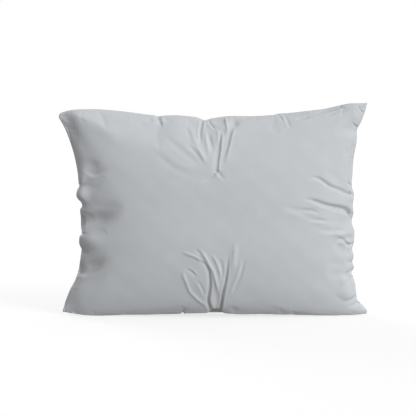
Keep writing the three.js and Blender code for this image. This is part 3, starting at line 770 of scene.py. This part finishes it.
# A strip turned in along the whole rim, ring by ring: the seam allowance, and the hem beside the zip.
def turnedIn(grid, side, depths, limit=None):
    rows, columns = grid.shape[:2]
    u, v = np.meshgrid(np.linspace(-1, 1, columns), np.linspace(-1, 1, rows))
    rings = []
    for inward, lift in depths:
        acrossIn = np.full_like(u, inward)
        if limit is not None:
            room = np.maximum(grid[..., 0] - limit, cloth["leastTurn"]) * inward / depths[-1][0]
            beside = (u > 0.99) & (slotOpening(grid[..., 2]) > 0)
            acrossIn = np.where(beside, np.minimum(room, inward), inward)
        ring = grid.copy()
        ring[..., 0] -= acrossIn * np.sign(u) * np.abs(u) ** skin["turn"]
        ring[..., 2] -= inward * np.sign(v) * np.abs(v) ** skin["turn"]
        ring[..., 1] += side * lift
        rings.append(ring)
    return rings


cloth = {
    "columns": 112,
    "rows": 72,
    "wall": 1.0,
    "frames": 20,
    "quality": 6,
    "mass": 0.2,
    "pressure": 0.6,
    "stretch": 30,
    "bending": 0.6,
    "damping": 20,
    "ease": 0.002,  # the panel is cut this much larger than the space it fills
    "cap": 4.5,  # the most that a point may move
    "turnIn": ((1.2, 0.25), (5.0, 0.3), (9.0, 0.3)),  # how far in and how far out from the middle, by ring
    "leastTurn": 0.8,  # where the zip leaves no more room
    "zipGap": 0.4,
    "fill": 0.7,
}


# Blows the smooth skin up as cloth held by its seams, and gives the settled grid back.
def settleCloth(grid, side):
    piece = meshFromGrid("settling", grid, side)
    rows, columns = grid.shape[:2]
    index = np.arange(rows * columns).reshape(rows, columns)
    held = piece.vertex_groups.new(name="held")
    rim = np.concatenate([index[0], index[-1], index[:, 0], index[:, -1]])
    held.add(rim.tolist(), 1.0, "REPLACE")
    modifier = piece.modifiers.new("cloth", "CLOTH")
    settings = modifier.settings
    settings.quality = cloth["quality"]
    settings.mass = cloth["mass"]
    settings.tension_stiffness = cloth["stretch"]
    settings.compression_stiffness = cloth["stretch"]
    settings.shear_stiffness = cloth["stretch"] / 2
    settings.bending_stiffness = cloth["bending"]
    settings.tension_damping = cloth["damping"]
    settings.compression_damping = cloth["damping"]
    settings.vertex_group_mass = "held"
    settings.use_pressure = True
    settings.uniform_pressure_force = cloth["pressure"]
    settings.shrink_min = -cloth["ease"]
    settings.effector_weights.gravity = 0
    modifier.collision_settings.use_collision = False
    modifier.point_cache.frame_start = 1
    modifier.point_cache.frame_end = cloth["frames"]
    for number in range(1, cloth["frames"] + 1):
        bpy.context.scene.frame_set(number)
    applyAll(piece)
    bpy.context.scene.frame_set(1)
    settled = np.empty(rows * columns * 3)
    piece.data.vertices.foreach_get("co", settled)
    bpy.data.objects.remove(piece)
    move = settled.reshape(grid.shape) / mm - grid
    far = np.linalg.norm(move, axis=2, keepdims=True)
    move *= np.tanh(far / cloth["cap"]) * cloth["cap"] / np.maximum(far, 1e-6)
    say(f"cloth moved {far.mean():.1f} mm on average, {far.max():.1f} at most")
    return grid + move


def thicken(piece, wall):
    makeActive(piece)
    modifier = piece.modifiers.new("wall", "SOLIDIFY")
    modifier.thickness = wall * mm
    modifier.offset = -1
    applyAll(piece)
    return piece


def makeCover(name, side, node):
    grid = baseSkin(side, cloth["columns"], cloth["rows"], halfDepth, slotted=True)
    grid = settleCloth(grid, side)
    grid = crease(finerGrid(finerGrid(grid)), side)
    rings = turnedIn(grid, side, cloth["turnIn"], zipRoot + cloth["zipGap"])
    piece = thicken(meshFromGrid(name, grid, side, rings), cloth["wall"])
    finishPiece(piece, "cover", coverSateen, [node])
    return grid


say("cover front")
coverGrid = {-1: makeCover("coverFrontSoft", -1, "cover_front_panel")}
say("cover back")
coverGrid[1] = makeCover("coverBackSoft", 1, "cover_back_panel")

ticking = {
    "columns": 130,
    "rows": 88,
    "inset": 15,
    "clear": 1.8,  # between its seam and the slider, all the way up
    "gap": 5.5,  # between the cover's skin and the insert's, before folds
    "under": 4.0,  # how much wider the cover's valleys are in it
    "floor": 2.6,
    "wall": 0.6,
    "turnIn": ((1.0, 0.2), (7.0, 0.25)),
    "fill": 0.7,
}


def makeTickingPanel(name, side, node):
    grid = baseSkin(side, ticking["columns"], ticking["rows"], halfDepth - ticking["gap"],
                    ticking["inset"], ticking["floor"])
    grid = crease(grid, side, ticking["floor"], ticking["under"])
    x = grid[..., 0]
    limit = box["zip_slider"][0][0] - ticking["clear"]
    grid[..., 0] = x + slotOpening(grid[..., 2]) * (softLimit(x, limit, -1) - x)
    rings = turnedIn(grid, side, ticking["turnIn"])
    piece = thicken(meshFromGrid(name, grid, side, rings), ticking["wall"])
    finishPiece(piece, "cover", tickingCotton, [node])
    return grid


say("insert")
tickingGrid = {side: makeTickingPanel(name, side, node) for name, side, node in (
    ("tickingFrontSoft", -1, "ticking_front"), ("tickingBackSoft", 1, "ticking_back"))}

filling = {
    "columns": 110,
    "rows": 76,
    "inset": 26,
    "gap": 10,
    "floor": 6,
    "under": 6.0,
    "tuft": 0.8,
    "tuftDrop": 1.5,  # keeps the tufts inside the ticking
    "tuftLengths": (17, 26, 41),
    "seed": 3,
    "weld": 0.00002,
    "fill": 0.7,
}


# the loose fibre: one closed lump with soft tufts
def makeFilling():
    random = np.random.default_rng(filling["seed"])
    halves = []
    for side in (-1, 1):
        grid = baseSkin(side, filling["columns"], filling["rows"], halfDepth - filling["gap"],
                        filling["inset"], filling["floor"])
        grid = crease(grid, side, filling["floor"], filling["under"])
        x, z = grid[..., 0], grid[..., 2]
        tufts = sum(bumps(x, z, length, random) for length in filling["tuftLengths"])
        inner = np.zeros_like(x)
        inner[2:-2, 2:-2] = 1
        raised = filling["tuft"] * (tufts - filling["tuftDrop"]) * inner
        grid = grid + gridNormals(grid, side) * raised[..., None]
        grid[..., 2] = np.maximum(grid[..., 2], filling["floor"] + seamBottom(grid[..., 0]))
        rim = np.ones_like(x, bool)
        rim[1:-1, 1:-1] = False
        grid[..., 1] = np.where(rim, 0, grid[..., 1])
        halves.append(meshFromGrid("fibreFillSoft", grid, side))
    deselectAll()
    for half in halves:
        half.select_set(True)
    bpy.context.view_layer.objects.active = halves[0]
    bpy.ops.object.join()
    piece = halves[0]
    bpy.ops.object.mode_set(mode="EDIT")
    bpy.ops.mesh.select_all(action="SELECT")
    bpy.ops.mesh.remove_doubles(threshold=filling["weld"])
    bpy.ops.object.mode_set(mode="OBJECT")
    finishPiece(piece, "cover", fibre, ["fibre_fill"])


makeFilling()


# a point and outward normal on a finished grid, over a place seen from the front
def onGrid(grid, side, x, z):
    normals = gridNormals(grid, side)
    row = np.abs(grid[:, grid.shape[1] // 2, 2] - z).argmin()
    for step in range(4):
        column = np.abs(grid[row, :, 0] - x).argmin()
        row = np.abs(grid[:, column, 2] - z).argmin()
    return grid[row, column], normals[row, column]


label = {
    "cell": 2.0,
    "wall": 0.25,
    "window": (60, 50),  # the cloth that is looked at round a label
    "smooth": 5.0,
    "insideCover": 2.4,
    "onTicking": 0.9,
}


# A satin care label, blank, lying against the cloth that it is sewn to.
def makeLabel(name, node, grid, away):
    low, high = box[node]
    columns = int((high[0] - low[0]) / label["cell"])
    rows = int((high[2] - low[2]) / label["cell"])
    x, z = np.meshgrid(np.linspace(low[0], high[0], columns + 1), np.linspace(low[2], high[2], rows + 1))
    wide, tall = label["window"]
    near = (np.abs(grid[..., 0] - x.mean()) < wide) & (np.abs(grid[..., 2] - z.mean()) < tall)
    cloud = grid[near]
    squared = (x[..., None] - cloud[:, 0]) ** 2 + (z[..., None] - cloud[:, 2]) ** 2
    weights = np.exp(-squared / label["smooth"] ** 2)
    y = (weights * cloud[:, 1]).sum(axis=2) / weights.sum(axis=2)  # the cloth's own surface, smoothed
    flat = np.dstack([x, y, z])
    flat = flat + gridNormals(flat, -1) * away
    piece = thicken(meshFromGrid(name, flat, -1), label["wall"])
    finishPiece(piece, "cover", labelSatin, [node])
    width = np.linalg.norm(np.diff(flat[rows // 2], axis=0), axis=1).sum() * mm
    length = np.linalg.norm(np.diff(flat[:, columns // 2], axis=0), axis=1).sum() * mm
    say(f"{name} cut to {width / mm:.1f} x {length / mm:.1f} mm")


makeLabel("coverCareLabelCloth", "cover_care_label", coverGrid[-1], -label["insideCover"])
makeLabel("tickingCareLabelCloth", "ticking_care_label", tickingGrid[-1], label["onTicking"])

say("stitching")

thread = {
    "sides": 6,
    "cuts": 3,
    "thinner": 0.55,  # at both ends of a stitch
    "sunk": 0.6,
}


# One stitch of thread, lying along x and sunk at both ends, modelled once.
def stitchShape():
    deselectAll()
    bpy.ops.mesh.primitive_cylinder_add(vertices=thread["sides"], radius=0.5, depth=1,
                                        rotation=(0, math.pi / 2, 0))
    shape = bpy.context.object
    bpy.ops.object.transform_apply(rotation=True)
    bpy.ops.object.mode_set(mode="EDIT")
    bpy.ops.mesh.select_all(action="DESELECT")
    mesh = bmesh.from_edit_mesh(shape.data)
    for edge in mesh.edges:
        edge.select = abs(edge.verts[0].co.x - edge.verts[1].co.x) > 0.5
    bmesh.update_edit_mesh(shape.data)
    bpy.ops.mesh.subdivide(number_cuts=thread["cuts"])
    bpy.ops.object.mode_set(mode="OBJECT")
    points = np.array([v.co for v in shape.data.vertices])
    faces = [list(p.vertices) for p in shape.data.polygons]
    bpy.data.objects.remove(shape)
    along = points[:, 0] * 2
    girth = 1 - thread["thinner"] * np.abs(along) ** 3
    points[:, 1] *= girth
    points[:, 2] *= girth
    points[:, 2] -= thread["sunk"] * along ** 2
    return points, faces


# stitches laid at places, each with its run, outward direction, length and thickness
def layStitches(name, places, nodes, material):
    points, faces = stitchShape()
    allPoints = []
    allFaces = []
    for centre, run, out, length, thick in places:
        run = run / np.linalg.norm(run)
        out = out - run * out.dot(run)
        out = out / np.linalg.norm(out)
        across = np.cross(out, run)
        start = sum(len(p) for p in allPoints)
        allPoints.append(centre + points[:, :1] * length * run + points[:, 1:2] * thick * across
                         + points[:, 2:] * thick * out)
        allFaces += [[start + i for i in face] for face in faces]
    mesh = bpy.data.meshes.new(name)
    mesh.from_pydata((np.vstack(allPoints) * mm).tolist(), [], allFaces)
    mesh.shade_smooth()
    piece = bpy.data.objects.new(name, mesh)
    bpy.context.scene.collection.objects.link(piece)
    finishPiece(piece, "cover", material, nodes)


def makeTopstitch(name, side, node):
    heights = np.arange(stitching["low"], stitching["high"], stitching["pitch"])
    spots = [onGrid(coverGrid[side], side, seamX("right", z) - stitching["fromEdge"], z) for z in heights]
    places = []
    for i in range(1, len(spots) - 1):
        run = spots[i + 1][0] - spots[i - 1][0]
        centre = spots[i][0] + spots[i][1] * stitching["proud"]
        places.append((centre, run, spots[i][1], stitching["stitch"], stitching["thick"]))
    layStitches(name, places, [node], coverThread)


makeTopstitch("topstitchFrontRow", -1, "topstitch_front")
makeTopstitch("topstitchBackRow", 1, "topstitch_back")

bartack = {
    "bars": 9,
    "long": 6.0,
    "thick": 0.6,
    "margin": 0.3,
    "proud": 0.25,
}


# the dense bars of thread that stop the seam opening at the ends of the zip
def makeBartack(name, node):
    low, high = box[node]
    run, out = np.array([0, 1.0, 0]), np.array([1.0, 0, 0])
    places = []
    for z in np.linspace(low[2] + bartack["margin"], high[2] - bartack["margin"], bartack["bars"]):
        centre = np.array([seamX("right", z) + bartack["proud"], 0, z])
        places.append((centre, run, out, bartack["long"], bartack["thick"]))
    layStitches(name, places, [node], coverThread)


makeBartack("bartackUpperBars", "bartack_upper")
makeBartack("bartackLowerBars", "bartack_lower")

say("zip")

coil = {
    "pitch": 2.0,
    "filament": 0.27,  # half its thickness
    "past": 0.5,  # how far a loop reaches over the middle, between its neighbours opposite
    "around": 12,
    "section": 5,
}


# A row of filament loops, one per pitch, offset so that the two rows mesh.
def makeCoil(name, side, node):
    low, high = box[node]
    outer = max(abs(low[1]), abs(high[1]))
    middle = (outer - coil["past"]) / 2
    half = (outer + coil["past"]) / 2 - coil["filament"]
    tall = (high[0] - low[0]) / 2 - coil["filament"]
    first = low[2] + coil["filament"] + (coil["pitch"] / 2 if side > 0 else 0)
    deselectAll()
    bpy.ops.mesh.primitive_torus_add(major_segments=coil["around"], minor_segments=coil["section"],
                                     major_radius=mm, minor_radius=coil["filament"] * mm,
                                     location=((low[0] + high[0]) / 2 * mm, side * middle * mm, first * mm))
    piece = bpy.context.object
    piece.name = piece.data.name = name
    bpy.ops.object.mode_set(mode="EDIT")
    bpy.ops.mesh.select_all(action="SELECT")
    bpy.ops.transform.resize(value=(tall, half, 1), orient_type="GLOBAL",
                             center_override=tuple(piece.location))
    bpy.ops.object.mode_set(mode="OBJECT")
    bpy.ops.object.transform_apply(location=True, rotation=True, scale=True)
    modifier = piece.modifiers.new("row", "ARRAY")
    modifier.count = int((high[2] - coil["filament"] - first) / coil["pitch"]) + 1
    modifier.use_relative_offset = False
    modifier.use_constant_offset = True
    modifier.constant_offset_displace = (0, 0, coil["pitch"] * mm)
    applyAll(piece)
    bpy.ops.object.shade_smooth()
    finishPiece(piece, "cover", zipCoil, [node])


makeCoil("zipCoilFrontLoops", -1, "zip_coil_front")
makeCoil("zipCoilBackLoops", 1, "zip_coil_back")

casting = {
    "edge": 0.2,
    "sliderEdge": 0.22,
    "segments": 3,
    "weld": 0.000005,
    "sharp": 30,  # degrees, from which an edge is rounded
    "smooth": 35,
}


# A cast metal part keeps the size of its solid and gets the rounded edges of a casting.
def roundedCasting(name, node, body, radius=casting["edge"]):
    source = frame["nodes"][node]
    piece = bpy.data.objects.new(name, source.data.copy())
    bpy.context.scene.collection.objects.link(piece)
    makeActive(piece)
    bpy.ops.object.mode_set(mode="EDIT")
    bpy.ops.mesh.select_all(action="SELECT")
    bpy.ops.mesh.remove_doubles(threshold=casting["weld"])
    bpy.ops.mesh.dissolve_limited(angle_limit=math.radians(1))
    bpy.ops.object.mode_set(mode="OBJECT")
    modifier = piece.modifiers.new("rounded", "BEVEL")
    modifier.width = radius * mm
    modifier.segments = casting["segments"]
    modifier.limit_method = "ANGLE"
    modifier.angle_limit = math.radians(casting["sharp"])
    applyAll(piece)
    bpy.ops.object.shade_smooth_by_angle(angle=math.radians(casting["smooth"]))
    finishPiece(piece, body, zinc, [node])


roundedCasting("zipSliderCasting", "zip_slider", "slider", casting["sliderEdge"])
roundedCasting("zipPullCasting", "zip_pull", "pull")
roundedCasting("zipStopClosedFrontClip", "zip_stop_closed_front", "cover")
roundedCasting("zipStopClosedBackClip", "zip_stop_closed_back", "cover")
roundedCasting("zipStopOpenClip", "zip_stop_open", "cover")

# the zip tapes and the overlocked edges keep their solids
kept = {"zip_tape": zipTape, "cover_overlock": coverThread, "ticking_overlock": tickingThread}
for name, node in frame["nodes"].items():
    for start, material in kept.items():
        if name.startswith(start):
            node.data.materials.clear()
            node.data.materials.append(material)

say("studio")
view = {
    "distance": 4.0,
    "elevation": 3.0,
    "aim": (-0.0118, 0.0, 0.252),
    "across": 0.979,
    "sensor": 36,
}
aim = Vector(view["aim"])
tilt = math.radians(view["elevation"])
cameraData = bpy.data.cameras.new("camera")
cameraData.sensor_width = view["sensor"]
cameraData.lens = view["sensor"] * view["distance"] / view["across"]
camera = bpy.data.objects.new("camera", cameraData)
bpy.context.scene.collection.objects.link(camera)
camera.location = aim + view["distance"] * Vector((0, -math.cos(tilt), math.sin(tilt)))
camera.rotation_euler = (aim - camera.location).to_track_quat("-Z", "Y").to_euler()
bpy.context.scene.camera = camera

studio = {
    "glow": 0.70,  # the floor's own light, so that only a thin contact shadow shows
    "board": "8f8f8f",
    "floorSize": 40,
    "floorDrop": 0.0005,
    "horizon": 0.3,  # how far up and down the change from below to above reaches
    "up": 0.80,  # the surrounding light from above, and so on
    "down": 0.43,
    "left": 0.44,
    "right": 1.18,
    "key": 1.6,
    "lampAngle": 28,
    "keyFrom": (0.7, -0.75, 0.46),
    "fill": 0.8,  # a weak lamp behind, so that the back isn't left in the dark
    "fillFrom": (-0.5, 0.85, 0.35),
}

# matt studio board that glows, so that it shows white
deselectAll()
bpy.ops.mesh.primitive_plane_add(size=studio["floorSize"], location=(0, 0, -studio["floorDrop"]))
floor = bpy.context.object
floor.name = "floor"
board, tree, shader = newMaterial("mattWhiteBoard", studio["board"], 0.9, Emission_Strength=studio["glow"])
shader.inputs["Emission Color"].default_value = (1, 1, 1, 1)
floor.data.materials.append(board)
floor.visible_diffuse = False
floor.visible_glossy = False

world = bpy.data.worlds.new("studio")
world.use_nodes = True
bpy.context.scene.world = world
tree = world.node_tree
tree.nodes.clear()
direction = addNode(tree, "ShaderNodeTexCoord")
split = addNode(tree, "ShaderNodeSeparateXYZ", links={"Vector": direction.outputs["Generated"]})
height = addNode(tree, "ShaderNodeMapRange",
                 {"From Min": -studio["horizon"], "From Max": studio["horizon"],
                  "To Min": studio["down"], "To Max": studio["up"]},
                 {"Value": split.outputs["Z"]})
across = addNode(tree, "ShaderNodeMapRange",
                 {"From Min": -1.0, "From Max": 1.0, "To Min": studio["left"], "To Max": studio["right"]},
                 {"Value": split.outputs["X"]})
light = addNode(tree, "ShaderNodeMath", {"operation": "MULTIPLY"},
                {0: height.outputs[0], 1: across.outputs[0]})
seen = addNode(tree, "ShaderNodeLightPath")
soft = addNode(tree, "ShaderNodeBackground", links={"Strength": light.outputs[0]})
soft.inputs["Color"].default_value = (1, 1, 1, 1)
plain = addNode(tree, "ShaderNodeBackground", {"Strength": 1.0})
plain.inputs["Color"].default_value = (1, 1, 1, 1)
mixed = addNode(tree, "ShaderNodeMixShader",
                links={0: seen.outputs["Is Camera Ray"], 1: soft.outputs[0], 2: plain.outputs[0]})
addNode(tree, "ShaderNodeOutputWorld", links={"Surface": mixed.outputs[0]})

for lamp in ("key", "fill"):
    lampData = bpy.data.lights.new(lamp, "SUN")
    lampData.energy = studio[lamp]
    lampData.angle = math.radians(studio["lampAngle"])
    sun = bpy.data.objects.new(lamp, lampData)
    bpy.context.scene.collection.objects.link(sun)
    sun.rotation_euler = (-Vector(studio[lamp + "From"])).to_track_quat("-Z", "Y").to_euler()
bpy.context.scene.view_settings.view_transform = "Standard"
